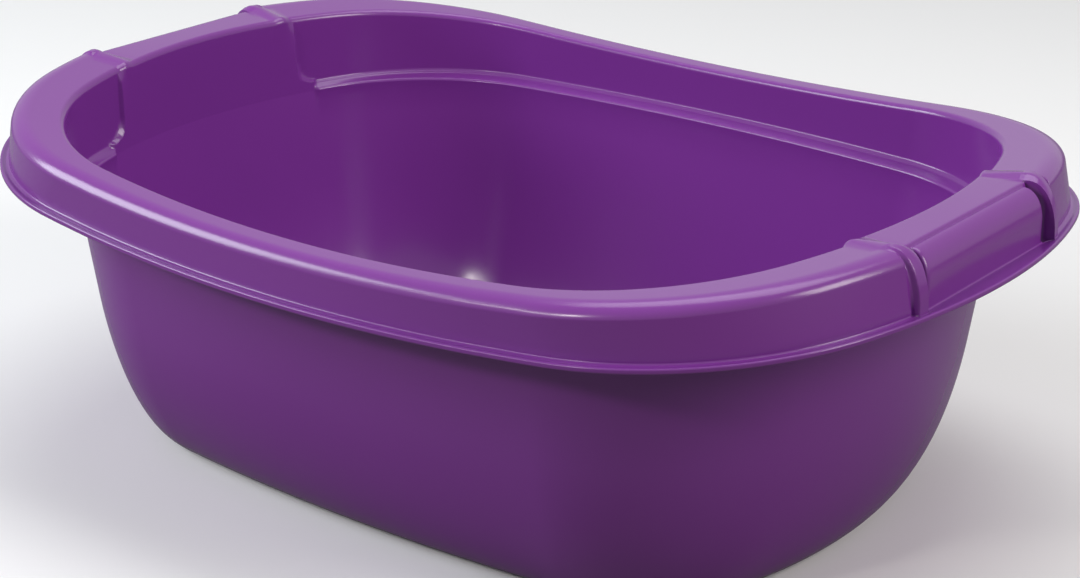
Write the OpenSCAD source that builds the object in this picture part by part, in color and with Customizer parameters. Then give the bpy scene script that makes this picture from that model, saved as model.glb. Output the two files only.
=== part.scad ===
// Oval washing up bowl with a moulded handle at each end of its long axis.
// The bowl is one plastic moulding, modelled here as zones that meet face to face.
// X runs along the bowl through both handles, Z points up, and the table is at Z = 0.
// The rim sweeps up towards the handles, and the lip below it sweeps up a little less.

/* [Outline] */
// Half length of the opening at the inner edge of the rim
opening_half_length = 230; // [222:1:236]
// Half width of the opening
opening_half_width = 172; // [165:1:180]
// Half length of the basin wall, measured where the wall would meet the rim
basin_half_length = 234; // [228:1:238]
// Distance from the bowl's centre to the centre that the end curves share
end_centre_x = 50; // [40:1:60]
// Distance from the bowl's centre to the centre that a long side's curves share
side_centre_y = 913; // [800:1:1000]
// Corner radius of the opening
opening_corner = 107; // [100:1:112]
// Corner radius of the basin wall
basin_corner = 115; // [108:1:118]

/* [Basin] */
// Height of the rim above the table at the middle of a long side
rim_height = 161.5; // [150:0.5:175]
// Thickness of the plastic
wall = 2; // [1.6:0.1:2.4]
// Height of the base above the table, which is the height of the foot ring
foot_height = 1.5; // [1:0.1:2.5]
// How far the basin wall leans in for each millimetre it goes down
draft = 0.137; // [0.1:0.001:0.16]
// Height of the rounded bend between the wall and the base
bend_height = 78; // [60:1:85]
// Width of the rounded bend, over and above the lean of the wall
bend_width = 23; // [18:1:28]
// Depth below the rim of the step along each long side, at its lower edge
step_depth = 29; // [28:0.5:32]
// How far the basin wall stands in from the opening below that step
step_width = 5; // [4:0.5:6]

/* [Rim] */
// Half length of the flat top of the rim
flat_half_length = 251; // [246:1:253]
// Half width of the flat top of the rim
flat_half_width = 182.5; // [180:0.5:185]
// Corner radius of the outer edge of the rim's flat top
flat_corner = 118; // [112:1:122]
// Half length of the whole bowl, out to the lip
lip_half_length = 270; // [266:1:276]
// Half width of the whole bowl, out to the lip
lip_half_width = 195; // [190:1:200]
// Corner radius of the lip
lip_corner = 128; // [120:1:132]
// Width of the rounded shoulder between the rim's top and its skirt, at the middle of a side
shoulder_width = 7.3; // [6.5:0.1:8]
// Height of the rounded shoulder there
shoulder_height = 8; // [6:0.5:9]
// How much wider the shoulder is at the ends of the bowl
shoulder_spread = 3.3; // [2:0.1:4]
// Depth of the lip's lower edge below the rim at the middle of a long side
lip_drop = 24.5; // [22:0.5:27]
// Thickness of the lip
lip_height = 2.7; // [2.2:0.1:3.2]
// Radius of the sweep of the rim, seen from the side
rim_sweep = 1614; // [1400:2:2000]
// Radius of the sweep of the lip, seen from the side
lip_sweep = 2464; // [2200:4:3200]

/* [Handles] */
// Half of the angle that a handle takes up, out to the outer face of its posts
handle_angle = 14; // [13:0.5:15]
// Half of the angle between the two posts of a handle
post_angle = 10.6; // [10.4:0.1:10.8]
// Angle over which a post rises from the rim and the skirt beside it
post_ramp = 1.2; // [0.8:0.1:1.6]
// How far the crest of a post stands above the rim
post_rise = 2; // [1.5:0.1:3]
// Angle from the middle of a handle to the outer face of the rib that a post runs down with
rib_angle = 11.7; // [11.5:0.05:11.8]
// How far the rib's foot stands out from the rim's flat top
rib_run = 16.6; // [15:0.2:17]
// Height of the rib's curve
rib_drop = 28.5; // [27:0.5:29]
// Angle that the upright recess between a rib and the skirt takes up
recess_turn = 0.5; // [0.4:0.05:0.6]
// Depth of that recess
recess_depth = 5; // [3:0.5:6]
// Angle that the web inside a post takes up
web_turn = 0.4; // [0.3:0.1:0.5]
// Half length of the handle's inner edge, which stands in from the opening
handle_inner_x = 228; // [226:0.5:229]
// Distance from the bowl's centre to the straight upper edge of the grip panel
grip_top_x = 248; // [246:0.5:250]
// Distance from the bowl's centre to the foot of the grip panel
grip_foot_x = 258.4; // [256:0.2:260]
// Half width of the grip panel
grip_half_width = 53; // [49:0.5:53.5]
// Height of the grip panel's rounded top
grip_round = 17; // [12:1:18]
// How far the grip panel's upper edge lies below the top of the handle
grip_drop = 1.3; // [0.8:0.1:1.6]

/* [Hidden] */
$fn = 96;
plastic = [0.42, 0.18, 0.55];
plastic_light = [0.55, 0.32, 0.68];

// An outline is its half length, half width and corner radius
opening = [opening_half_length, opening_half_width, opening_corner];
basin = [basin_half_length, opening_half_width, basin_corner];
flat_edge = [flat_half_length, flat_half_width, flat_corner];
lip_edge = [lip_half_length, lip_half_width, lip_corner];
handle_edge = [handle_inner_x, opening_half_width, opening_corner];

full_turn = 360;
rim_band = 4;
bend_steps = 8;
bend_top = foot_height + bend_height;
step_foot = rim_height - step_depth;
step_top = step_foot + 5;
lip_base = rim_height - lip_drop;
basin_depth = step_foot - foot_height;
base_offset = -step_width - draft * basin_depth - bend_width;
shoulder_end = 80;
shoulder_turns = [0 : shoulder_end / 4 : shoulder_end];
edge_turns = [0 : 45 : 90];
edge_round = 2.5;
under_round = 1.5;
skirt_run = 4.5;
lip_run = 3;
// Height of the skirt's foot above the lip, and how far a rib's foot stands in from the lip's edge
foot_rise = 0.8;
rib_inset = 2.6;
foot_inset = 4;
foot_width = 4;
reach = 3 * lip_half_length;
tall = 2 * rim_height;
sweep_facets = 1440;

// Heights of the swept rim and of the swept lip at a distance x along the bowl
function rim_z(x) = rim_height + rim_sweep - sqrt(rim_sweep ^ 2 - x ^ 2);
function lip_z(x) = lip_base + lip_sweep - sqrt(lip_sweep ^ 2 - x ^ 2);

// An outline is eight arcs: two ends, two sides and four corners that touch them
function side_radius(o) = o[1] + side_centre_y;
function end_radius(o) = o[0] + end_centre_x;
function corner_centre(o) =
    let (
        side = [0, -side_centre_y],
        end = [-end_centre_x, 0],
        gap = norm(end - side),
        from_side = side_radius(o) - o[2],
        from_end = end_radius(o) - o[2],
        along = (from_side ^ 2 - from_end ^ 2 + gap ^ 2) / (2 * gap),
        across = sqrt(from_side ^ 2 - along ^ 2),
        u = (end - side) / gap
    )
    side + along * u + across * [u.y, -u.x];
function end_angle(o) = let (c = corner_centre(o)) atan2(c.y, c.x + end_centre_x);
function side_angle(o) = let (c = corner_centre(o)) atan2(c.y + side_centre_y, c.x);

// The arcs in order round the bowl: centre, radius, first angle and last angle
function arcs(o) =
    let (c = corner_centre(o), a = end_angle(o), b = side_angle(o))
    [
        [[-end_centre_x, 0], end_radius(o), -a, a],
        [[c.x, c.y], o[2], a, b],
        [[0, -side_centre_y], side_radius(o), b, 180 - b],
        [[-c.x, c.y], o[2], 180 - b, 180 - a],
        [[end_centre_x, 0], end_radius(o), 180 - a, 180 + a],
        [[-c.x, -c.y], o[2], 180 + a, 180 + b],
        [[0, side_centre_y], side_radius(o), 180 + b, full_turn - b],
        [[c.x, -c.y], o[2], full_turn - b, full_turn - a]
    ];

// The point of an outline whose outward direction is the angle t, moved out by d
function outline_point(o, t, d = 0) =
    let (
        slack = 0.001,
        turn = t > full_turn - end_angle(o) ? t - full_turn : t,
        arc = [for (k = arcs(o)) if (turn >= k[2] - slack && turn <= k[3] + slack) k][0]
    )
    arc[0] + (arc[1] + d) * [cos(turn), sin(turn)];

// Points of a section, as functions of the direction t
function at_rim(o, d, lift) =
    function(t) let (p = outline_point(o, t, d)) [p.x, p.y, rim_z(p.x) + lift];
function at_lip(o, d, lift) =
    function(t) let (p = outline_point(o, t, d)) [p.x, p.y, lip_z(p.x) + lift];
function at_height(o, d, z) =
    function(t) let (p = outline_point(o, t, d)) [p.x, p.y, z];

// The directions of the sections, closest together round the corners
function span(from, to, steps) = [for (i = [0 : steps - 1]) from + (to - from) * i / steps];
end_run = span(-handle_angle, handle_angle, 12);
corner_run = let (a = end_angle(flat_edge), b = side_angle(flat_edge))
    concat(span(handle_angle, a, 3), span(a, b, 14));
side_run = let (b = side_angle(flat_edge)) span(b, 180 - b, 18);
end_zone = concat(end_run, [handle_angle]);
corner_zone = concat(corner_run, [side_run[0]]);
side_zone = concat(side_run, [180 - side_run[0]]);
far_corner = [for (i = [len(corner_zone) - 1 : -1 : 0]) 180 - corner_zone[i]];
back_half = concat(corner_run, side_run, far_corner);
half_turn = concat(end_run, corner_run, side_run, [for (i = [0 : len(far_corner) - 2]) far_corner[i]]);
all_round = concat(half_turn, [for (t = half_turn) t + 180]);

// Joins the section at each direction to the next one. An open shell has an end at each
// side, and a closed one goes all the way round.
module loft(stations, outer, inner, closed = false) {
    rows = concat(outer, [for (i = [len(inner) - 1 : -1 : 0]) inner[i]]);
    n = len(rows);
    count = len(stations);
    points = [for (t = stations) for (row = rows) row(t)];
    skin = [
        for (i = [0 : count - (closed ? 1 : 2)]) for (j = [0 : n - 1])
            let (a = i * n, b = (i + 1) % count * n, k = (j + 1) % n)
            each [[a + j, a + k, b + k], [a + j, b + k, b + j]]
    ];
    cap = closed ? [] : [
        for (j = [0 : n / 2 - 2])
            each [[j, n - 2 - j, j + 1], [j, n - 1 - j, n - 2 - j]]
    ];
    far_cap = [for (f = cap) [f[0], f[2], f[1]] + (count - 1) * n * [1, 1, 1]];
    polyhedron(points, concat(skin, cap, far_cap), convexity = 6);
}

// Sweeps a section round the end curve of an outline, to the same angle on both sides
module sweep_end(o, angle) {
    translate([-end_centre_x, 0, 0])
        rotate_extrude(angle = 2 * angle, start = -angle)
            translate([end_radius(o), 0])
                children();
}

// The space above a surface that sweeps up from a height at the middle of the bowl
module above(height, radius) {
    translate([0, 0, height + radius])
        rotate([90, 0, 0])
            cylinder(r = radius, h = reach, center = true, $fn = sweep_facets);
}

module above_rim(lift) {
    above(rim_height + lift, rim_sweep);
}

// A rectangle between two offsets and two heights
module band(inner, outer, low, high) {
    translate([inner, low])
        square([outer - inner, high - low]);
}

// The basin wall leans in evenly, then turns through the bend into the base
function wall_offset(z) = -step_width - draft * (step_foot - z);
function bend_point(turn, skin) = [
    wall_offset(bend_top - bend_height * sin(turn)) - bend_width * (1 - cos(turn))
        - skin * cos(turn),
    bend_top - (bend_height - skin) * sin(turn)
];

module base_panel() {
    color(plastic)
        translate([0, 0, foot_height])
            linear_extrude(wall)
                polygon([for (t = all_round) outline_point(basin, t, base_offset)]);
}

module foot_ring() {
    outer = base_offset - foot_inset;
    inner = outer - foot_width;
    color(plastic)
        loft(
            all_round,
            [at_height(basin, outer, foot_height), at_height(basin, outer, 0)],
            [at_height(basin, inner, foot_height), at_height(basin, inner, 0)],
            closed = true
        );
}

// The bend over a run of directions, from the wall down to the base
module bend(stations) {
    turns = [for (i = [0 : bend_steps]) 90 * i / bend_steps];
    points = [for (skin = [0, wall]) [for (turn = turns) bend_point(turn, skin)]];
    color(plastic)
        loft(
            stations,
            [for (p = points[1]) at_height(basin, p.x, p.y)],
            [for (p = points[0]) at_height(basin, p.x, p.y)]
        );
}

// The basin wall over a run of directions, from the step down to the bend
module basin_wall(stations) {
    color(plastic)
        loft(
            stations,
            [for (z = [step_foot, bend_top]) at_height(basin, wall_offset(z) - wall, z)],
            [for (z = [step_foot, bend_top]) at_height(basin, wall_offset(z), z)]
        );
}

// A node on the left or in front is the mirror image of the one on the right or at the back
module on_left() {
    mirror([1, 0, 0])
        children();
}

module in_front() {
    mirror([0, 1, 0])
        children();
}

// The rounded step inside each long side, where the basin wall stands in
module back_step() {
    color(plastic)
        loft(
            back_half,
            [
                at_height(opening, 0, step_top),
                at_height(opening, -0.8, step_top - 1.6),
                at_height(basin, -step_width - wall + 1.2, step_foot + 2.4),
                at_height(basin, -step_width - wall + 0.3, step_foot + 1.2),
                at_height(basin, -step_width - wall, step_foot)
            ],
            [
                at_height(opening, wall, step_top),
                at_height(opening, wall - 0.4, step_top - 3.2),
                at_height(basin, -step_width + 1.6, step_foot + 0.6),
                at_height(basin, -step_width + 0.6, step_foot + 0.2),
                at_height(basin, -step_width, step_foot)
            ]
        );
}

module back_upper_wall() {
    color(plastic)
        loft(
            back_half,
            [at_rim(opening, 0, -rim_band), at_height(opening, 0, step_top)],
            [at_rim(opening, wall, -rim_band), at_height(opening, wall, step_top)]
        );
}

// The basin wall behind a handle runs up to the handle's inner edge, and is thicker
// at both ends, where it closes off the step and the upper wall beside it
module grip_wall() {
    end_width = 1;
    blend = 0.2;
    thin = handle_angle - end_width;
    half = concat(
        span(0, post_angle, 4),
        [post_angle, post_angle + web_turn, thin - blend, thin, handle_angle]
    );
    stations = concat([for (i = [len(half) - 1 : -1 : 1]) -half[i]], half);
    function outer_face(middle, ends) =
        function(t) abs(t) > thin - blend / 2 ? ends(t) : middle(t);
    color(plastic)
        loft(
            stations,
            [
                at_rim(handle_edge, 0, -rim_band),
                at_height(basin, -step_width - wall, step_foot)
            ],
            [
                outer_face(
                    at_rim(handle_edge, wall, -rim_band),
                    at_rim(opening, wall, -rim_band)
                ),
                outer_face(
                    at_height(basin, -step_width, step_foot),
                    at_height(opening, wall, step_foot)
                )
            ]
        );
}

module back_rim() {
    color(plastic_light)
        loft(back_half, rim_outer(), rim_inner());
}

// The rounded shoulder grows wider towards the ends of the bowl, and the skirt leans out below it
function growth(t) = 1 - (1 - (outline_point(flat_edge, t).x / flat_half_length) ^ 2) ^ 2;
function shoulder_run(t) = shoulder_width + shoulder_spread * growth(t);
function at_shoulder(turn) =
    function(t)
        at_rim(flat_edge, shoulder_run(t) * sin(turn), shoulder_height * (cos(turn) - 1))(t);
function under_shoulder(turn) =
    function(t)
        at_rim(flat_edge, (shoulder_run(t) - wall) * sin(turn),
            (shoulder_height - wall) * (cos(turn) - 1) - wall)(t);

// The two faces of the rim, from its inner edge over the top to the skirt
function rim_outer() = [
    at_rim(opening, 0, -rim_band),
    for (turn = edge_turns)
        at_rim(opening, edge_round * (1 - cos(turn)), edge_round * (sin(turn) - 1)),
    for (turn = shoulder_turns) at_shoulder(turn)
];
function rim_inner() = [
    at_rim(opening, wall, -rim_band),
    for (turn = edge_turns)
        at_rim(opening, wall + under_round * (1 - cos(turn)), -wall + under_round * (sin(turn) - 1)),
    for (turn = shoulder_turns) under_shoulder(turn)
];

module back_skirt() {
    color(plastic_light)
        loft(
            back_half,
            [at_shoulder(shoulder_end), each skirt_foot()],
            [under_shoulder(shoulder_end), each skirt_back()]
        );
}

// The foot of the skirt, where it turns out to meet the lip, and its back
function skirt_foot() = [
    at_lip(lip_edge, -skirt_run, lip_height + foot_rise),
    at_lip(lip_edge, -lip_run, lip_height),
    at_lip(lip_edge, -lip_run, 0)
];
function skirt_back() = [
    for (lift = [lip_height + foot_rise, lip_height, 0])
        at_lip(lip_edge, -skirt_run - wall, lift)
];

module lip() {
    color(plastic_light)
        loft(
            all_round,
            [at_lip(lip_edge, -lip_run, lip_height), at_lip(lip_edge, -lip_run, 0)],
            [at_lip(lip_edge, 0, lip_height), at_lip(lip_edge, 0, 0)],
            closed = true
        );
}

// The top of a handle, a curved strip with a straight outer edge and a web below
// its inner edge
module handle_bridge() {
    inner = handle_inner_x - basin_half_length;
    color(plastic_light)
        difference() {
            union() {
                intersection() {
                    sweep_end(basin, post_angle)
                        band(inner, rim_height, 0, tall);
                    translate([0, -reach / 2, 0])
                        cube([grip_top_x, reach, tall]);
                    above_rim(-wall);
                }
                intersection() {
                    sweep_end(basin, post_angle)
                        band(inner, inner + wall, 0, tall);
                    above_rim(-rim_band);
                }
            }
            above_rim(0);
        }
}

// The bulged panel that fingers press on, a curved top over a straight foot
function grip_curve(turn, skin) = [
    grip_top_x + (grip_foot_x - grip_top_x - skin) * sin(turn),
    rim_z(grip_top_x) - grip_drop - (skin > 0 ? skin - grip_drop : 0)
        - (grip_round - skin) * (1 - cos(turn))
];

module grip_panel() {
    foot = lip_z(grip_foot_x) + lip_height - wall;
    turns = [for (i = [0 : 6]) 15 * i];
    color(plastic_light)
        translate([0, grip_half_width, 0])
            rotate([90, 0, 0])
                linear_extrude(2 * grip_half_width)
                    polygon(concat(
                        [for (turn = turns) grip_curve(turn, 0)],
                        [[grip_foot_x, foot], [grip_foot_x - wall, foot]],
                        [for (i = [6 : -1 : 0]) grip_curve(turns[i], wall)]
                    ));
}

// The ledge between the foot of a grip panel and the lip
module drip_ledge() {
    function at_foot(lift) =
        function(t) [grip_foot_x, (grip_foot_x + end_centre_x) * tan(t), lip_z(grip_foot_x) + lift];
    low = lip_height - wall;
    color(plastic_light)
        loft(
            concat(span(-post_angle, post_angle, 10), [post_angle]),
            [at_foot(lip_height), at_foot(low)],
            [at_lip(lip_edge, -lip_run, lip_height), at_lip(lip_edge, -lip_run, low)]
        );
}

// A post rises steeply from the rim and the skirt, and its crest sinks slowly to the grip
crest = handle_angle - post_ramp;
function post_share(t) = min(1, (handle_angle - t) / post_ramp);
function post_lift(t) = post_rise * min(post_share(t), (t - post_angle) / (crest - post_angle));
function on_crest(o, d, lift) = function(t) at_rim(o, d, lift + post_lift(t))(t);

// A rib carries the post down over the skirt, and an upright recess parts it from the skirt
recess_edge = 0.1;
recess_end = rib_angle + recess_turn;
function rib_share(t) = max(0, min(1, (recess_end - t) / recess_turn));
function recess_share(t) = max(0, min(1, (t - rib_angle) / recess_edge, (recess_end - t) / recess_edge));
function under_recess(t) = t >= rib_angle - recess_edge && t <= recess_end + recess_edge ? 1 : 0;
function post_shoulder(turn) =
    function(t)
        let (
            share = rib_share(t),
            run = share * rib_run + (1 - share) * shoulder_run(t) - recess_depth * recess_share(t),
            drop = share * rib_drop + (1 - share) * shoulder_height + post_lift(t)
        )
        on_crest(flat_edge, run * sin(turn), drop * (cos(turn) - 1))(t);
function post_foot() = [
    function(t)
        let (share = rib_share(t), inset = share * rib_inset + (1 - share) * skirt_run)
        at_lip(lip_edge, -inset - recess_depth * recess_share(t),
            lip_height + (1 - share) * foot_rise)(t),
    at_lip(lip_edge, -lip_run, lip_height),
    at_lip(lip_edge, -lip_run, 0)
];
function under_post(turn) =
    function(t)
        at_rim(flat_edge, (shoulder_run(t) - wall - recess_depth * under_recess(t)) * sin(turn),
            (shoulder_height - wall) * (cos(turn) - 1) - wall)(t);
function post_back() = [
    for (lift = [lip_height + foot_rise, lip_height, 0])
        function(t)
            at_lip(lip_edge, -skirt_run - wall - recess_depth * under_recess(t), lift)(t)
];

// A raised post at one end of a handle, which crosses the rim and runs down its skirt
module back_post() {
    color(plastic_light)
        loft(
            [
                post_angle, post_angle + web_turn, rib_angle - recess_edge, rib_angle,
                rib_angle + recess_edge, recess_end - recess_edge, recess_end, recess_end + recess_edge,
                crest, (crest + handle_angle) / 2, handle_angle
            ],
            [
                at_rim(handle_edge, 0, -rim_band),
                on_crest(handle_edge, 0, -under_round),
                on_crest(handle_edge, under_round, 0),
                for (turn = shoulder_turns) post_shoulder(turn),
                each post_foot()
            ],
            [
                at_rim(handle_edge, wall, -rim_band),
                at_rim(handle_edge, wall, -wall - under_round),
                at_rim(handle_edge, wall + under_round, -wall),
                for (turn = shoulder_turns) under_post(turn),
                each post_back()
            ]
        );
}

// The web inside a post, a wall that closes the post towards the slot beside the grip panel
module back_web() {
    web_depth = 0.55;
    top = at_rim(handle_edge, wall, -rim_band);
    foot = at_height(basin, -step_width, step_foot);
    under_side = [
        at_rim(handle_edge, wall + under_round, -wall),
        for (turn = shoulder_turns) under_shoulder(turn),
        each skirt_back()
    ];
    steps = len(under_side) - 1;
    color(plastic_light)
        loft(
            [post_angle, post_angle + web_turn],
            under_side,
            [
                for (i = [0 : steps])
                    function(t) top(t) + (foot(t) - top(t)) * web_depth * i / steps
            ]
        );
}

base_panel();
foot_ring();
in_front() bend(side_zone);  // front_bend
bend(side_zone);  // back_bend
on_left() bend(end_zone);  // left_bend
bend(end_zone);  // right_bend
on_left() in_front() bend(corner_zone);  // front_left_bend
in_front() bend(corner_zone);  // front_right_bend
on_left() bend(corner_zone);  // back_left_bend
bend(corner_zone);  // back_right_bend
in_front() basin_wall(side_zone);  // front_wall
basin_wall(side_zone);  // back_wall
on_left() basin_wall(end_zone);  // left_wall
basin_wall(end_zone);  // right_wall
on_left() in_front() basin_wall(corner_zone);  // front_left_wall
in_front() basin_wall(corner_zone);  // front_right_wall
on_left() basin_wall(corner_zone);  // back_left_wall
basin_wall(corner_zone);  // back_right_wall
in_front() back_step();  // front_step
back_step();
in_front() back_upper_wall();  // front_upper_wall
back_upper_wall();
on_left() grip_wall();  // left_grip_wall
grip_wall();  // right_grip_wall
in_front() back_rim();  // front_rim
back_rim();
in_front() back_skirt();  // front_skirt
back_skirt();
lip();
on_left() handle_bridge();  // left_handle_bridge
handle_bridge();  // right_handle_bridge
on_left() grip_panel();  // left_grip_panel
grip_panel();  // right_grip_panel
on_left() in_front() back_post();  // left_front_post
on_left() back_post();  // left_back_post
in_front() back_post();  // right_front_post
back_post();  // right_back_post
on_left() in_front() back_web();  // left_front_web
on_left() back_web();  // left_back_web
in_front() back_web();  // right_front_web
back_web();  // right_back_web
on_left() drip_ledge();  // left_drip_ledge
drip_ledge();  // right_drip_ledge
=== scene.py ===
import math

import bmesh
import bpy
from mathutils import Matrix, Vector


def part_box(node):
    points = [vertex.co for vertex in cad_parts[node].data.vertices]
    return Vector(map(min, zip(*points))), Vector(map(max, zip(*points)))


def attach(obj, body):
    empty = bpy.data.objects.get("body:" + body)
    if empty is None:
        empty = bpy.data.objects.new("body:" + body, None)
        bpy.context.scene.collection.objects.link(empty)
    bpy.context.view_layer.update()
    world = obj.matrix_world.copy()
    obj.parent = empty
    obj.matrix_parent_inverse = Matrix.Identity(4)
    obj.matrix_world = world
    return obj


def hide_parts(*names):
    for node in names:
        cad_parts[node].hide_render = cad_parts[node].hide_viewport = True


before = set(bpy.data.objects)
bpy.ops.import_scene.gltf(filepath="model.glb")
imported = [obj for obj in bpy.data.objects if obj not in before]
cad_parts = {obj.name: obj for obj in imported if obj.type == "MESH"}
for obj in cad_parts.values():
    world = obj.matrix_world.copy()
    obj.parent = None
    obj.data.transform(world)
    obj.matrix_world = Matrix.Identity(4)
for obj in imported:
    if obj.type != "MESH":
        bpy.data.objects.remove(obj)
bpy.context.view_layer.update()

mm = 0.001
print("frame loaded")

# An outline is half length, half width and corner radius, in millimetres like all of the bowl's sizes
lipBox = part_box("lip")[1] / mm
outlines = {
    "opening": (230.0, 172.0, 107.0),
    "handle": (228.0, 172.0, 107.0),
    "basin": (234.0, 172.0, 115.0),
    "flat": (251.0, 182.5, 118.0),
    "lip": (lipBox.x, lipBox.y, 128.0),
}
bowl = {
    "endCentreX": 50.0,         # centre that all end curves share
    "sideCentreY": 913.0,       # centre that a side's curves share
    "rimHeight": 161.5,         # at the middle of a long side
    "rimSweep": 1614.0,
    "lipBase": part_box("lip")[0].z / mm,
    "lipSweep": 2464.0,
    "skin": 2.0,
    "draft": 0.137,
    "footHeight": 1.5,
    "bendHeight": 78.0,
    "bendWidth": 23.0,
    "floorEdge": 46.0,          # how far in from the basin's outline the flat floor ends
    "ringEdges": (50.0, 54.0),  # the same for the foot ring's outer and inner face
    "ringRound": 0.6,
    "ringFade": 2.0,            # how far beside the ring the base is flat again
    "stepFoot": 132.5,
    "stepWidth": 5.0,
    "stepRise": 6.0,
    "stepRound": 1.8,
    "stepEnd": 12.0,            # radius that the step's ends turn up with
    "gripWallHeight": 40.0,     # height over which the wall behind a handle runs in to its edge
    "edgeRound": 3.0,           # rounding between the wall and the top of the rim
    "underRound": 1.5,
    "shoulderRun": 7.3,         # width and height of the rounded shoulder at the middle of a side
    "shoulderDrop": 8.0,
    "shoulderSpread": 3.3,      # how much wider it is at the ends
    "beadRound": 0.9,           # rounding of the lip's edge
    "lipRound": 0.8,            # rounding where the lip's underside turns up behind the skirt
}
handle = {
    "panelEnd": 9.9,            # angles about the end centre, in degrees
    "postIn": 10.55,
    "postOut": 14.0,
    "webTurn": 0.35,
    "webFoot": 151.0,           # height above the table at which a web ends
    "webRows": slice(3, 21),    # the rows of a post's back that a web closes
    "endTurn": 0.5,             # angle over which the panel's end is rounded
    "endRound": 1.5,
    "sinkFoot": 54.0,           # distances from the bowl's long axis, where a post's top begins
    "crest": 60.5,
    "riserFoot": 67.0,
    "recess": (63.9, 66.5),     # distances between which the recess beside a rib lies
    "recessDepth": 2.8,
    "recessEdge": 1.2,
    "rise": 1.5,                # how far a crest and a post's end at the grip stand above the rim
    "bridgeRise": 0.7,
    "sinkAtEdge": 2.0,          # how much lower the bridge is at its outer edge
    "ribRun": 16.6,             # width and height of the rib that a post runs down the skirt with
    "ribDrop": 28.5,
    "chordX": 248.0,            # where the grip panel's straight top edge and its foot lie
    "footX": 258.4,
    "panelRound": 17.0,
    "edgeBlend": 0.22,          # half the angles over which one section turns into the next
    "slotBlend": 0.08,
}


def arcsOf(outline):
    # centre, radius and last angle of the end, corner and side arcs in the first quarter
    length, width, corner = outline
    side = Vector((0.0, -bowl["sideCentreY"]))
    end = Vector((-bowl["endCentreX"], 0.0))
    gap = (end - side).length
    fromSide = width + bowl["sideCentreY"] - corner
    fromEnd = length + bowl["endCentreX"] - corner
    along = (fromSide ** 2 - fromEnd ** 2 + gap ** 2) / (2 * gap)
    across = math.sqrt(fromSide ** 2 - along ** 2)
    u = (end - side) / gap
    c = side + along * u + across * Vector((u.y, -u.x))
    endAngle = math.degrees(math.atan2(c.y, c.x - end.x))
    sideAngle = math.degrees(math.atan2(c.y - side.y, c.x))
    return [
        (end, length - end.x, endAngle),
        (c, corner, sideAngle),
        (side, width - side.y, 90.0),
    ]


arcs = {name: arcsOf(outline) for name, outline in outlines.items()}


def outlinePoint(name, turn, out):
    # point of an outline that faces the angle turn, moved outwards
    folded = turn % 360
    quarter = min(folded % 180, 180 - folded % 180)
    centre, radius, last = next(a for a in arcs[name] if quarter <= a[2] + 1e-6)
    t = math.radians(quarter)
    x = centre.x + (radius + out) * math.cos(t)
    y = centre.y + (radius + out) * math.sin(t)
    return (x if folded < 90 or folded > 270 else -x), (y if folded < 180 else -y)


def rimZ(x):
    return bowl["rimHeight"] + bowl["rimSweep"] - math.sqrt(bowl["rimSweep"] ** 2 - x * x)


def lipZ(x):
    return bowl["lipBase"] + bowl["lipSweep"] - math.sqrt(bowl["lipSweep"] ** 2 - x * x)


# A section is a list of rows, and a row gives the point that faces a given angle
def atRim(name, out, lift):
    def row(turn):
        x, y = outlinePoint(name, turn, out)
        return Vector((x, y, rimZ(x) + lift))
    return row


def atLip(name, out, lift):
    def row(turn):
        x, y = outlinePoint(name, turn, out)
        return Vector((x, y, lipZ(x) + lift))
    return row


def atHeight(name, out, z):
    def row(turn):
        x, y = outlinePoint(name, turn, out)
        return Vector((x, y, z))
    return row


def atChord(chordX, lift, base):
    # a straight line across the handle, at a fixed distance from the bowl's centre
    def row(turn):
        side = 1 if math.cos(math.radians(turn)) > 0 else -1
        slope = math.tan(math.radians(turn))
        return Vector((side * chordX, side * (chordX + bowl["endCentreX"]) * slope, base(chordX) + lift))
    return row


def scaled(name, out, z, share):
    def row(turn):
        x, y = outlinePoint(name, turn, out)
        return Vector((x * share, y * share, z))
    return row


def wave(start, end, count):
    # evenly spaced angles from start to end, both included
    return [start + (end - start) * i / (count - 1) for i in range(count)]


def wallOut(z):
    return -bowl["stepWidth"] - bowl["draft"] * (bowl["stepFoot"] - z)


def bendRow(angle, skin):
    top = bowl["footHeight"] + bowl["bendHeight"]
    s, c = math.sin(math.radians(angle)), math.cos(math.radians(angle))
    out = wallOut(top - bowl["bendHeight"] * s) - bowl["bendWidth"] * (1 - c) - skin * c
    return atHeight("basin", out, top - (bowl["bendHeight"] - skin) * s)


def fillet(kind, name, out, lift, radiusOut, radiusUp, start, end, count):
    # rows round a corner, as an ellipse about the point (out, lift)
    rows = []
    for angle in wave(start, end, count):
        a = math.radians(angle)
        rows.append(kind(name, out + radiusOut * math.cos(a), lift + radiusUp * math.sin(a)))
    return rows


floorSides = [scaled("basin", -bowl["floorEdge"], bowl["footHeight"] + bowl["skin"], share)
              for share in (0.06, 0.2, 0.4, 0.6, 0.8, 0.92, 0.98)]
insideBend = [bendRow(angle, bowl["skin"]) for angle in wave(90, 0, 19)]


def awayFromHandle(turn):
    folded = turn % 180
    return min(folded, 180 - folded)


def smoothStep(low, high, value):
    share = min(1.0, max(0.0, (value - low) / (high - low)))
    return share * share * (3 - 2 * share)


def onCrest(name, out, lift, share=1.0):
    # a row of a post, whose top sinks from the crest towards the grip and outwards
    outer = smoothStep(outlines["handle"][0], outlines["flat"][0], outlines[name][0] + out)

    def row(turn):
        rise = smoothStep(handle["sinkFoot"], handle["crest"], abs(outlinePoint(name, turn, out)[1]))
        grip = handle["bridgeRise"] - outer * handle["sinkAtEdge"]
        return atRim(name, out, lift + share * (handle["rise"] * rise + grip * (1 - rise)))(turn)
    return row


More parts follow.
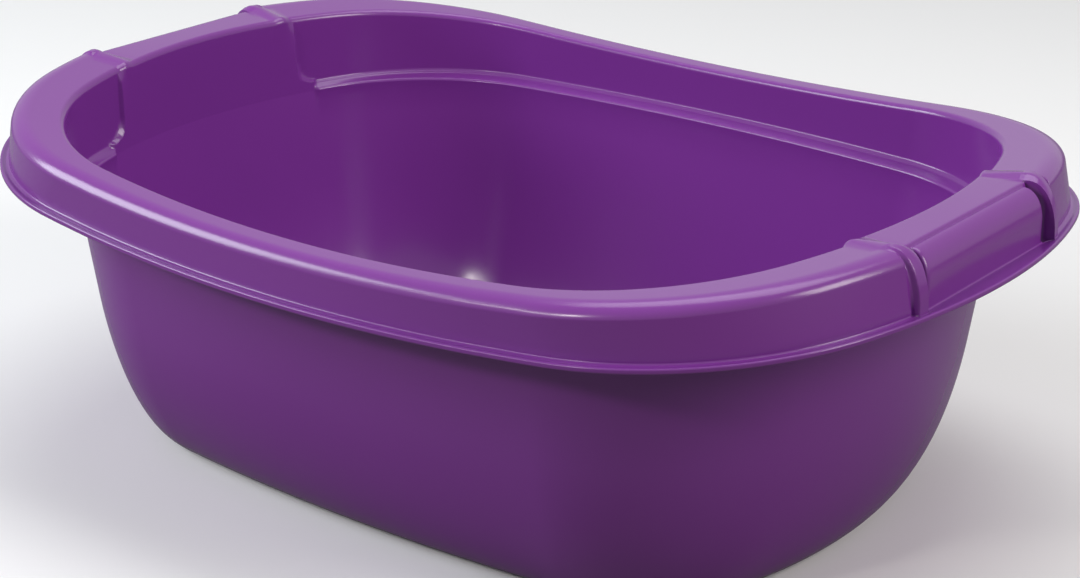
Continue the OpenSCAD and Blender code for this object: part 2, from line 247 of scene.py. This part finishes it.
def onShoulder(under, angle):
    # a row of the rounded shoulder, at an angle of its quarter turn and some way under its face
    s, c = math.sin(math.radians(angle)), math.cos(math.radians(angle))

    def row(turn):
        end = outlinePoint("flat", turn, 0.0)[0] / outlines["flat"][0]
        growth = 1 - (1 - end * end) ** 2
        run = bowl["shoulderRun"] + bowl["shoulderSpread"] * growth - under
        drop = bowl["shoulderDrop"] - under
        return atRim("flat", run * c, drop * (s - 1) - under)(turn)
    return row


def onRib(angle):
    s, c = math.sin(math.radians(angle)), math.cos(math.radians(angle))
    return onCrest("flat", handle["ribRun"] * c, handle["ribDrop"] * (s - 1), s)


def recessed(row, depth, wider):
    # a row with the upright recess beside each post
    low, high = handle["recess"]
    edge = handle["recessEdge"]

    def cutRow(turn):
        point = row(turn)
        away = abs(point.y)
        share = smoothStep(low - wider, low - wider + edge, away)
        share *= 1 - smoothStep(high + wider - edge, high + wider, away)
        inward = depth * share if abs(point.x) > outlines["opening"][0] else 0.0
        t = math.radians(turn)
        return point - Vector((inward * math.cos(t), inward * math.sin(t), 0))
    return cutRow


stepTop = bowl["stepFoot"] + bowl["stepRise"]
stepRows = [stepTop + rise for rise in (0.4, 1.0, 2.0, 4.0, 7.0, 12.0)]    # heights up to the rim
shoulderTurns = wave(88, 10, 12)     # a shoulder ends a little short of its quarter turn
backTurns = wave(0, 90, 9)


def basinTop():
    # the inside of the basin between its bend and the step
    return [atHeight("basin", wallOut(z) - bowl["skin"], z) for z in (95.0, 115.0, bowl["stepFoot"] - 6)]


def sideSection():
    foot = bowl["stepFoot"]
    low = wallOut(foot) - bowl["skin"]
    bead, edge = bowl["stepRound"], bowl["edgeRound"]
    rows = basinTop()
    rows += fillet(atHeight, "basin", low - 0.1, foot + 0.4, bead, bead, 180, 100, 6)
    rows += [atHeight("opening", out, z) for out, z in ((-2.6, foot + 3.1), (-1.4, foot + 3.7))]
    rows += fillet(atHeight, "opening", -bead, stepTop, bead, bead, -70, 0, 5)
    rows += [atHeight("opening", 0.0, z) for z in stepRows] + [atRim("opening", 0.0, -8.0)]
    rows += fillet(atRim, "opening", edge, -edge, edge, edge, 180, 90, 8)
    rows += [atRim("flat", out, 0.0) for out in (-3.5, -2.6, -1.9, -1.2, -0.4)]
    rows += [onShoulder(0.0, angle) for angle in shoulderTurns]
    rows += [atLip("lip", out, lift) for out, lift in ((-4.9, 7.0), (-4.5, 5.0))]
    rows += fillet(atLip, "lip", -3.5, 3.9, 1.2, 1.2, 190, 270, 5)
    return rows


def handleSection():
    foot = bowl["stepFoot"]
    low = wallOut(foot) - bowl["skin"]
    edge, high = bowl["edgeRound"], outlines["handle"][0] - outlines["basin"][0]
    lean = (high - low) / bowl["gripWallHeight"]
    heights = [foot + 0.48 * i for i in range(13)] + stepRows
    rows = basinTop()
    rows += [atHeight("basin", low + lean * (z - foot), z) for z in heights]
    rows.append(atRim("handle", -0.2, -8.0))
    rows += fillet(onCrest, "handle", edge, -edge, edge, edge, 180, 90, 8)
    return rows


def postSection():
    rows = handleSection()
    rows += [onCrest("flat", out, 0.0) for out in (-2.6, -1.9, -1.4, -0.8, -0.3)]
    rows += [onRib(angle) for angle in shoulderTurns]
    rows += [atLip("lip", out, lift) for out, lift in ((-2.4, 3.4), (-2.35, 3.2))]
    rows += fillet(atLip, "lip", -2.05, 3.0, 0.3, 0.3, 190, 270, 5)
    return rows


def atPanel(out, lift, outShare=0.0, liftShare=0.0, base=rimZ):
    # a row of the grip panel, which turns in at its two ends
    def row(turn):
        over = (awayFromHandle(turn) - handle["panelEnd"]) / handle["endTurn"] + 1
        over = min(1.0, max(0.0, over))
        inset = handle["endRound"] * (1 - math.sqrt(1 - over * over))
        return atChord(out - outShare * inset, lift - liftShare * inset, base)(turn)
    return row


def panelSection():
    chord, foot, drop = handle["chordX"], handle["footX"], handle["panelRound"]
    rows = handleSection()
    # the bridge's outer edge, and the groove between it and the panel
    rows += [atChord(chord + out, lift, rimZ) for out, lift in
             ((-2.2, -1.0), (-1.2, -1.2), (-0.7, -1.7), (-0.5, -2.4), (0.0, -2.8))]
    rows.append(atPanel(chord + 0.5, -2.55, 0.0, 1.0))
    for angle in wave(4, 86, 11):
        a = math.radians(angle)
        s, c = math.sin(a), math.cos(a)
        out = chord + 0.6 + (foot - chord - 0.6) * s
        rise = -2.3 - (drop - 2.3) * (1 - c) + rimZ(chord) - rimZ(out)
        rows.append(atPanel(out, rise, s, c))
    rows += [atPanel(foot, lift, 1.0, 0.0, lipZ) for lift in (9.0, 2.5)]
    for angle in wave(180, 270, 5):
        a = math.radians(angle)
        rows.append(atChord(foot + 0.8 + 0.8 * math.cos(a), 2.4 + 0.8 * math.sin(a), lipZ))
    return rows


def lipRows():
    # up from the foot of the skirt, and round the lip's edge to its underside
    bead = bowl["beadRound"]
    rows = [atLip("lip", out, lift) for out, lift in ((-2.7, 2.3), (-2.0, 2.7))]
    rows += fillet(atLip, "lip", -bead, 2 * bead, bead, bead, 88, 0, 5)
    rows += fillet(atLip, "lip", -bead, bead, bead, bead, 0, -90, 5)
    rows += [atLip("lip", -3.0, 0.0)]
    return rows


def underSkirt(inset):
    # from the lip's underside up behind the skirt, whose foot is set in that far, and the shoulder
    edge = bowl["lipRound"]
    rows = fillet(atLip, "lip", -5.9, edge, edge, edge, 270, 180, 4)
    rows += [atLip("lip", -inset, 6.0)]
    return rows + [onShoulder(bowl["skin"], angle) for angle in backTurns]


def underEdge(outline):
    # round the back of the rim's inner edge
    middle, edge = bowl["skin"] + bowl["underRound"], bowl["underRound"]
    rows = fillet(atRim, outline, middle, -middle, edge, edge, 90, 180, 4)
    return rows + [atRim(outline, bowl["skin"], -9.0)]


# The back of each section, from the lip up under the rim and down the outside of the basin
def sideBack():
    foot = bowl["stepFoot"]
    rows = underSkirt(7.0) + [atRim("opening", 4.2, -2.0)] + underEdge("opening")
    rows += [atHeight("opening", bowl["skin"], foot + 8.0)]
    rows += fillet(atHeight, "opening", -1.0, foot + 4.2, 3.0, 3.0, 0, -60, 5)
    rows += fillet(atHeight, "basin", -3.4, foot - 0.8, 1.6, 1.6, 120, 180, 4)
    rows += [atHeight("basin", wallOut(foot - 5), foot - 5)]
    return rows


def gripWallOut(z):
    # outer face of the wall that runs up to a handle's inner edge
    foot = bowl["stepFoot"]
    edge = outlines["handle"][0] - outlines["basin"][0] + bowl["skin"]
    share = max(0.0, (z - foot) / bowl["gripWallHeight"])
    return atHeight("basin", wallOut(foot) + (edge - wallOut(foot)) * share, z)


def gripWallBack():
    foot = bowl["stepFoot"]
    rows = [atRim("handle", 5.0, -2.0)] + underEdge("handle")
    rows += [gripWallOut(foot + 8.0 - i) for i in range(10)]
    return rows + [atHeight("basin", wallOut(foot - 5), foot - 5)]


def postBack():
    return underSkirt(6.8) + gripWallBack()


def panelBack():
    chord, foot, drop, skin = handle["chordX"], handle["footX"], handle["panelRound"], bowl["skin"]
    rows = [atLip("lip", -2.0, 0.4), atChord(foot + 1.0, 0.2, lipZ)]
    rows += [atChord(foot - 1.0, 0.2, lipZ), atChord(foot - skin, 1.2, lipZ)]
    rows += [atChord(foot - skin, 6.0, lipZ), atChord(foot - skin, 9.0, lipZ)]
    for angle in wave(90, 0, 8):
        a = math.radians(angle)
        out = chord + (foot - chord - skin) * math.sin(a)
        rise = -3.6 - (drop - 3.6) * (1 - math.cos(a)) + rimZ(chord) - rimZ(out)
        rows.append(atChord(out, rise, rimZ))
    return rows + gripWallBack()


def baseUnder():
    # the foot ring, and the base within it
    base, edge, fade = bowl["footHeight"], bowl["ringRound"], bowl["ringFade"]
    outer, inner = bowl["ringEdges"]
    rows = [atHeight("basin", fade - outer, base)]
    rows += fillet(atHeight, "basin", -outer - edge, edge, edge, edge, 0, -90, 3)
    rows += fillet(atHeight, "basin", edge - inner, edge, edge, edge, -90, -180, 3)
    rows += [atHeight("basin", -inner - fade, base)]
    return rows + [scaled("basin", -inner - fade, base, share) for share in (0.9, 0.7, 0.5, 0.3, 0.1)]


outsideBend = [bendRow(angle, 0.0) for angle in wave(0, 90, 19)]


def shares(turn, sideRange):
    # how much of the side, post and panel sections shows at an angle
    away = awayFromHandle(turn)
    blend = handle["slotBlend"]
    side = smoothStep(*sideRange, away)
    post = smoothStep(handle["postIn"] - blend, handle["postIn"] + blend, away)
    return side, (1 - side) * post, (1 - side) * (1 - post)


def blended(sections, ranges):
    # one list of rows that turns from section to section round the bowl
    def mixed(rows, sideRange):
        def row(turn):
            parts = [(share, r) for share, r in zip(shares(turn, sideRange), rows) if share > 0]
            return sum((share * r(turn) for share, r in parts), Vector((0, 0, 0)))
        return row
    return [mixed(rows, sideRange) for rows, sideRange in zip(zip(*sections), ranges)]


def edgeAt(inward):
    # the angles over which the side section begins, that many millimetres along from the handle
    blend = handle["edgeBlend"]
    middle = handle["postOut"] + math.degrees(inward / (outlines["opening"][0] + bowl["endCentreX"]))
    return middle - blend, middle + blend


def turnsAt(row, *distances):
    # the angles at which a row near a post is that far from the bowl's long axis
    point = row(handle["postOut"])
    radius = math.hypot(point.x + bowl["endCentreX"], point.y)
    return [math.degrees(math.asin(distance / radius)) for distance in distances]


def frontRanges(rows):
    # the step's ends turn up in a quarter circle, and above the wall a post has a wide ramp
    radius = bowl["stepEnd"]
    ranges = [edgeAt(radius)] * seamRow["stepTop"]
    for z in stepRows:
        left = radius - (z - stepTop)
        ranges.append(edgeAt(radius - math.sqrt(radius ** 2 - left ** 2)))
    ranges.append(edgeAt(0.0))
    for row in rows[len(ranges):seamRow["shoulder"]]:
        ranges.append(turnsAt(row, handle["crest"], handle["riserFoot"]))
    return ranges + [turnsAt(row, *handle["recess"]) for row in rows[seamRow["shoulder"]:]]


def withRecess(rows, shoulder, turns, foot, wider):
    # the recess grows down the shoulder's rows and runs on to the foot's rows
    depths = {shoulder + i: math.cos(math.radians(angle)) for i, angle in enumerate(turns)}
    depths.update({number: 1.0 for number in foot})
    return [recessed(row, handle["recessDepth"] * depths[i], wider) if i in depths else row
            for i, row in enumerate(rows)]


# Where the parts of a section's front and back begin, counted in rows
seamRow = {
    "stepTop": 16,
    "wallIn": 22,
    "slotTop": 34,
    "shoulder": 36,
    "slotFoot": 52,
    "backSlotFoot": 2,
    "behindSkirt": 4,
    "backShoulder": 5,
    "backSlotTop": 13,
    "wallOut": 19,
    "ringEnd": 7,
}
sections = [sideSection(), postSection(), panelSection()]
skirtFoot = range(seamRow["shoulder"] + len(shoulderTurns), len(sections[0]))
front = blended(sections, frontRanges(sections[0]))
front = withRecess(front, seamRow["shoulder"], shoulderTurns, skirtFoot, 0.0)
backSections = [sideBack(), postBack(), panelBack()]
back = blended(backSections, [edgeAt(0.0)] * len(backSections[0]))
back = withRecess(back, seamRow["backShoulder"], backTurns, [seamRow["behindSkirt"]], bowl["skin"])
rows = floorSides + insideBend + front + lipRows() + back + outsideBend + baseUnder()
frontStart = len(floorSides) + len(insideBend)
lipStart = frontStart + len(front)
backStart = lipStart + len(lipRows())
baseStart = backStart + len(back) + len(outsideBend)
seams = {
    "wallIn": frontStart + seamRow["wallIn"],   # inner face of the basin wall, just below the rim
    "wallOut": backStart + seamRow["wallOut"],
    "lipIn": lipStart - 1,          # foot of the skirt, and the lip's lower edge behind it
    "lipOut": backStart,
    "ringIn": baseStart,
    "ringOut": baseStart + seamRow["ringEnd"],
}
slot = {
    "frontRows": (frontStart + seamRow["slotTop"], frontStart + seamRow["slotFoot"]),
    "backRows": (backStart + seamRow["backSlotFoot"], backStart + seamRow["backSlotTop"]),
    "angles": (handle["panelEnd"], handle["postIn"] + handle["slotBlend"]),
    "edgeRound": 0.3,
    "margin": 0.01,             # angle that a face may lie beyond a limit
}


def stationAngles():
    # the angles round the bowl, closest where the section changes: each start and its steps
    blend, postOut = handle["edgeBlend"], handle["postOut"]
    panelEnd, slotEnd = slot["angles"]
    stops = (
        (0, 9), (panelEnd - handle["endTurn"], 8), (panelEnd, 2), (slotEnd, 5), (11.5, 16),
        (12.4, 14), (postOut - blend, 6), (postOut + blend, 14), (17.2, 4), (18.5, 52), (84, 10),
    )
    ends = [place for place, _ in stops[1:]] + [90]
    quarter = [0]
    for (start, steps), end in zip(stops, ends):
        quarter += wave(start, end, steps + 1)[1:]
    half = quarter + [180 - angle for angle in reversed(quarter[:-1])]
    return half + [angle + 180 for angle in half[1:-1]]


def mouldedSkin():
    # the whole moulding as one closed skin, extruded row by row from the middle of the floor
    angles = stationAngles()
    bm = bmesh.new()
    turnLayer = bm.verts.layers.float.new("turn")
    rowLayer = bm.verts.layers.int.new("row")
    disc = bmesh.ops.create_circle(bm, cap_ends=True, cap_tris=True, segments=len(angles), radius=1.0)
    ring = [v for v in disc["verts"] if v.co.length > 0.5]
    ring.sort(key=lambda v: math.atan2(v.co.y, v.co.x) % math.tau)
    middle = next(v for v in disc["verts"] if v.co.length <= 0.5)
    middle.co = (0, 0, rows[0](0).z * mm)
    for v, angle in zip(ring, angles):
        v[turnLayer] = angle
        v.co = rows[0](angle) * mm
    edges = [e for e in bm.edges if e.is_boundary]
    for number, row in enumerate(rows[1:], start=1):
        made = bmesh.ops.extrude_edge_only(bm, edges=edges)["geom"]
        edges = [g for g in made if isinstance(g, bmesh.types.BMEdge)]
        for v in (g for g in made if isinstance(g, bmesh.types.BMVert)):
            v[rowLayer] = number
            v.co = row(v[turnLayer]) * mm
    bmesh.ops.pointmerge(bm, verts=[v for v in bm.verts if v[rowLayer] == len(rows) - 1],
                         merge_co=(0, 0, bowl["footHeight"] * mm))
    bmesh.ops.recalc_face_normals(bm, faces=bm.faces)
    return bm


def areaNormal(vertex):
    total = Vector((0, 0, 0))
    for f in vertex.link_faces:
        total += f.normal * f.calc_area()
    return total.normalized()


skinMesh = mouldedSkin()
normalLayer = skinMesh.verts.layers.float_vector.new("skinNormal")
for v in skinMesh.verts:
    v[normalLayer] = areaNormal(v)
print("skin", len(skinMesh.faces), "faces")


def zoneOf(face, turnAt, rowAt):
    # which piece a face of the skin belongs to
    number = min(v[rowAt] for v in face.verts)
    if seams["lipIn"] <= number < seams["lipOut"]:
        return "lipBead"
    if seams["ringIn"] <= number < seams["ringOut"]:
        return "footRing"
    if number < seams["wallIn"] or number >= seams["wallOut"]:
        return "basinShell"
    centre = face.calc_center_median()
    handleEnd = handle["postOut"] + handle["edgeBlend"] + slot["margin"]
    if max(awayFromHandle(v[turnAt]) for v in face.verts) <= handleEnd:
        return "rightHandle" if centre.x > 0 else "leftHandle"
    return "backRim" if centre.y > 0 else "frontRim"


wallSeam, ringSeam, lipSeam = ("wallIn", "wallOut"), ("ringIn", "ringOut"), ("lipIn", "lipOut")
pieceSeams = {
    "basinShell": [wallSeam, ringSeam],
    "footRing": [ringSeam],
    "lipBead": [lipSeam],
}
for name in ("frontRim", "backRim", "leftHandle", "rightHandle"):
    pieceSeams[name] = [wallSeam, lipSeam]


def cutSlots(bm, turnAt, rowAt):
    # the gap between each end of a grip panel and the post beside it
    low, high = slot["angles"]
    margin = slot["margin"]

    def inSlot(face, first, last):
        return all(low - margin < awayFromHandle(v[turnAt]) < high + margin
                   and first <= v[rowAt] <= last for v in face.verts)

    for first, last in (slot["frontRows"], slot["backRows"]):
        bmesh.ops.delete(bm, geom=[f for f in bm.faces if inSlot(f, first, last)], context="FACES")
    edges = [e for e in bm.edges if e.is_boundary]
    for north in (True, False):
        bmesh.ops.bridge_loops(bm, edges=[e for e in edges if (e.verts[0].co.y > 0) == north])
    bmesh.ops.bevel(bm, geom=edges, affect="EDGES", offset=slot["edgeRound"] * mm, segments=2, profile=0.5,
                    material=-1, clamp_overlap=True)


def splitOff(name):
    # one piece of the skin, closed across its wall where it meets its neighbours
    bm = skinMesh.copy()
    turnAt = bm.verts.layers.float["turn"]
    rowAt = bm.verts.layers.int["row"]
    normalAt = bm.verts.layers.float_vector["skinNormal"]
    others = [f for f in bm.faces if zoneOf(f, turnAt, rowAt) != name]
    bmesh.ops.delete(bm, geom=others, context="FACES")
    shared = {v for v in bm.verts if v.is_boundary}
    for pair in pieceSeams[name]:
        seamRows = {seams[end] for end in pair}
        edges = [e for e in bm.edges if e.is_boundary and e.verts[0][rowAt] == e.verts[1][rowAt]
                 and e.verts[0][rowAt] in seamRows]
        bmesh.ops.bridge_loops(bm, edges=edges)
    bmesh.ops.holes_fill(bm, edges=[e for e in bm.edges if e.is_boundary], sides=0)
    if "Handle" in name:
        cutSlots(bm, turnAt, rowAt)
        bmesh.ops.recalc_face_normals(bm, faces=bm.faces)
        for v in (v for v in bm.verts if v not in shared):
            v[normalAt] = areaNormal(v)
    for f in bm.faces:
        f.smooth = True
    mesh = bpy.data.meshes.new(name)
    bm.to_mesh(mesh)
    normals = [tuple(v[normalAt]) for v in bm.verts]
    bm.free()
    mesh.normals_split_custom_set_from_vertices(normals)
    piece = bpy.data.objects.new(name, mesh)
    bpy.context.collection.objects.link(piece)
    return piece


def addWebs(name, side):
    # the walls that close a handle's two posts towards its slots
    bm = bmesh.new()
    profile = postBack()[handle["webRows"]] + [gripWallOut(handle["webFoot"])]
    middle = (-side * bowl["endCentreX"] * mm, 0, 0)
    for end in (1, -1):
        turn = end * slot["angles"][1]
        points = [row(turn if side > 0 else 180 - turn) * mm for row in profile]
        verts = [bmesh.ops.create_vert(bm, co=point)["vert"][0] for point in points]
        face = bmesh.ops.contextual_create(bm, geom=verts)["faces"]
        grown = bmesh.ops.extrude_face_region(bm, geom=face)["geom"]
        further = Matrix.Rotation(math.radians(side * end * handle["webTurn"]), 3, "Z")
        bmesh.ops.rotate(bm, verts=[g for g in grown if isinstance(g, bmesh.types.BMVert)],
                         cent=middle, matrix=further)
    bmesh.ops.recalc_face_normals(bm, faces=bm.faces)
    mesh = bpy.data.meshes.new(name)
    bm.to_mesh(mesh)
    bm.free()
    piece = bpy.data.objects.new(name, mesh)
    bpy.context.collection.objects.link(piece)
    return piece


standsFor = {
    "basinShell": ["base_panel", "front_step", "back_step", "front_upper_wall", "back_upper_wall",
                   "left_grip_wall", "right_grip_wall"],
    "footRing": ["foot_ring"],
    "lipBead": ["lip"],
    "frontRim": ["front_rim", "front_skirt"],
    "backRim": ["back_rim", "back_skirt"],
    "leftHandle": ["left_handle_bridge", "left_grip_panel", "left_drip_ledge",
                   "left_front_post", "left_back_post"],
    "rightHandle": ["right_handle_bridge", "right_grip_panel", "right_drip_ledge",
                    "right_front_post", "right_back_post"],
    "leftWebs": ["left_front_web", "left_back_web"],
    "rightWebs": ["right_front_web", "right_back_web"],
}
for zone in ("front", "back", "left", "right", "front_left", "front_right", "back_left", "back_right"):
    standsFor["basinShell"] += [zone + "_bend", zone + "_wall"]


class Signal:
    # a shader socket that Python arithmetic can be done on
    def __init__(self, shader, socket):
        self.shader = shader
        self.socket = socket

    def maths(self, operation, first, second):
        return self.shader.node("ShaderNodeMath", {"operation": operation}, {0: first, 1: second})

    def __add__(self, other):
        return self.maths("ADD", self, other)

    def __radd__(self, other):
        return self.maths("ADD", other, self)

    def __sub__(self, other):
        return self.maths("SUBTRACT", self, other)

    def __rsub__(self, other):
        return self.maths("SUBTRACT", other, self)

    def __mul__(self, other):
        return self.maths("MULTIPLY", self, other)

    def __rmul__(self, other):
        return self.maths("MULTIPLY", other, self)


class Shader:
    # a node tree that is built one node at a time
    def __init__(self, tree):
        self.tree = tree
        tree.nodes.clear()

    def node(self, kind, settings=None, values=None, output=0):
        made = self.tree.nodes.new(kind)
        for key, value in (settings or {}).items():
            setattr(made, key, value)
        for key, value in (values or {}).items():
            if isinstance(value, Signal):
                self.tree.links.new(value.socket, made.inputs[key])
            else:
                made.inputs[key].default_value = value
        return Signal(self, made.outputs[output]) if made.outputs else None


def newMaterial(name):
    material = bpy.data.materials.new(name)
    material.use_nodes = True
    return material


plastic = {
    "colour": (0.215, 0.040, 0.310, 1.0),
    "deepColour": (0.200, 0.036, 0.292, 1.0),
    "roughness": 0.2,
    "roughSpread": 0.05,        # how much the scuffs and the flow marks change it
    "flowSpread": 0.06,
    "flowScale": 9.0,
    "scuffScale": 260.0,
    "ior": 1.49,
    "grain": 0.00004,           # height of the uneven surface, in metres
}


def mouldedPlastic():
    # glossy polypropylene with faint flow marks, fine scuffs and a barely uneven surface
    material = newMaterial("mouldedPlastic")
    s = Shader(material.node_tree)
    place = s.node("ShaderNodeTexCoord", output=3)
    flow = s.node("ShaderNodeTexNoise", {}, {
        "Vector": place, "Scale": plastic["flowScale"], "Detail": 3.0, "Roughness": 0.5,
    })
    scuffs = s.node("ShaderNodeTexNoise", {}, {
        "Vector": place, "Scale": plastic["scuffScale"], "Detail": 4.0, "Roughness": 0.6,
    })
    colour = s.node("ShaderNodeMix", {"data_type": "RGBA"},
                    {0: flow, 6: plastic["deepColour"], 7: plastic["colour"]}, output=2)
    rough = plastic["roughness"] + (scuffs - 0.5) * plastic["roughSpread"]
    rough = rough + (flow - 0.5) * plastic["flowSpread"]
    bump = s.node("ShaderNodeBump", {}, {"Height": flow, "Strength": 0.5, "Distance": plastic["grain"]})
    skin = s.node("ShaderNodeBsdfPrincipled", {}, {
        "Base Color": colour, "Roughness": rough, "IOR": plastic["ior"], "Normal": bump,
    })
    s.node("ShaderNodeOutputMaterial", {}, {"Surface": skin})
    return material


plasticMaterial = mouldedPlastic()
for name, nodes in standsFor.items():
    if "Webs" in name:
        piece = addWebs(name, 1 if "right" in name else -1)
    else:
        piece = splitOff(name)
    piece.data.materials.append(plasticMaterial)
    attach(piece, "root")
    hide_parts(*nodes)
    print(name, len(piece.data.polygons), "faces")
skinMesh.free()

camera = {
    "azimuth": 37.70,           # angles in degrees, and the place in millimetres
    "elevation": 21.09,
    "roll": 0.234,
    "place": (703.4, -897.1, 523.9),
    "lens": 79.45,              # on a 36 mm wide sensor
}


def placeCamera():
    az, el, roll = (math.radians(camera[key]) for key in ("azimuth", "elevation", "roll"))
    ahead = Vector((-math.sin(az) * math.cos(el), math.cos(az) * math.cos(el), -math.sin(el)))
    right = Vector((math.cos(az), math.sin(az), 0))
    up = right.cross(ahead)
    tiltedRight = math.cos(roll) * right + math.sin(roll) * up
    tiltedUp = math.cos(roll) * up - math.sin(roll) * right
    data = bpy.data.cameras.new("camera")
    data.sensor_width = 36.0
    data.lens = camera["lens"]
    data.clip_start = 0.01
    made = bpy.data.objects.new("camera", data)
    bpy.context.collection.objects.link(made)
    turn = Matrix((tiltedRight, tiltedUp, -ahead)).transposed()
    made.matrix_world = Matrix.Translation(Vector(camera["place"]) * mm) @ turn.to_4x4()
    bpy.context.scene.camera = made


placeCamera()

# The studio's sizes and places are in metres
studio = {
    "skyLight": 0.22,           # what the world sheds on the object
    "skyShine": 0.85,           # what its gloss reflects
    "floorSize": 12.0,
    "lampAim": (0.0, 0.0, 0.1),
    "floorColour": (0.90, 0.90, 0.90, 1.0),
    "floorBounce": (0.165, 0.155, 0.145, 1.0),
    "floorShine": (0.30, 0.30, 0.30, 1.0),
}
lamps = {
    # place, width, height, watts and colour
    "overhead": ((-0.1, 0.5, 2.0), 1.8, 1.1, 18.5, (0.98, 0.98, 1.0)),
    "leftBox": ((-1.8, -1.2, 1.2), 1.3, 1.0, 38, (0.90, 0.96, 1.0)),
    "frontStrip": ((-0.5, -1.5, 1.0), 0.7, 0.2, 4.5, (1.0, 0.96, 0.94)),
    "hotCore": ((-0.10, -1.5, 1.02), 0.16, 0.16, 3.5, (1.0, 0.95, 0.90)),
    "rightBox": ((1.9, 0.35, 1.25), 0.9, 1.0, 24, (1.0, 0.96, 0.92)),
}


def paleFloor():
    bm = bmesh.new()
    bmesh.ops.create_grid(bm, x_segments=1, y_segments=1, size=studio["floorSize"] / 2)
    mesh = bpy.data.meshes.new("floor")
    bm.to_mesh(mesh)
    bm.free()
    floor = bpy.data.objects.new("floor", mesh)
    bpy.context.collection.objects.link(floor)
    material = newMaterial("paleFloor")
    s = Shader(material.node_tree)
    seen = s.node("ShaderNodeLightPath", output="Is Camera Ray")
    glossy = s.node("ShaderNodeLightPath", output="Is Glossy Ray")
    colour = s.node("ShaderNodeMix", {"data_type": "RGBA"},
                    {0: glossy, 6: studio["floorBounce"], 7: studio["floorShine"]}, output=2)
    bounce = s.node("ShaderNodeBsdfDiffuse", {}, {"Color": colour})
    matt = s.node("ShaderNodeBsdfDiffuse", {}, {"Color": studio["floorColour"]})
    either = s.node("ShaderNodeMixShader", {}, {0: seen, 1: bounce, 2: matt})
    s.node("ShaderNodeOutputMaterial", {}, {"Surface": either})
    mesh.materials.append(material)


def softBox(name, place, width, height, watts, colour):
    data = bpy.data.lights.new(name, "AREA")
    data.shape = "RECTANGLE"
    data.size = width
    data.size_y = height
    data.energy = watts
    data.color = colour
    made = bpy.data.objects.new(name, data)
    bpy.context.collection.objects.link(made)
    ahead = (Vector(studio["lampAim"]) - Vector(place)).normalized()
    made.matrix_world = Matrix.Translation(place) @ ahead.to_track_quat("-Z", "Y").to_matrix().to_4x4()


def paleWorld():
    world = bpy.data.worlds.new("studio")
    world.use_nodes = True
    bpy.context.scene.world = world
    s = Shader(world.node_tree)
    glossy = s.node("ShaderNodeLightPath", output="Is Glossy Ray")
    seen = s.node("ShaderNodeLightPath", output="Is Camera Ray")
    shine = s.node("ShaderNodeMapRange", {},
                   {"Value": glossy, "To Min": studio["skyLight"], "To Max": studio["skyShine"]})
    strength = s.node("ShaderNodeMapRange", {}, {"Value": seen, "To Min": shine, "To Max": 1.0})
    sky = s.node("ShaderNodeBackground", {}, {"Strength": strength})
    s.node("ShaderNodeOutputWorld", {}, {"Surface": sky})


paleFloor()
paleWorld()
for name, values in lamps.items():
    softBox(name, *values)
bpy.context.scene.view_settings.view_transform = "Standard"
print("studio set")
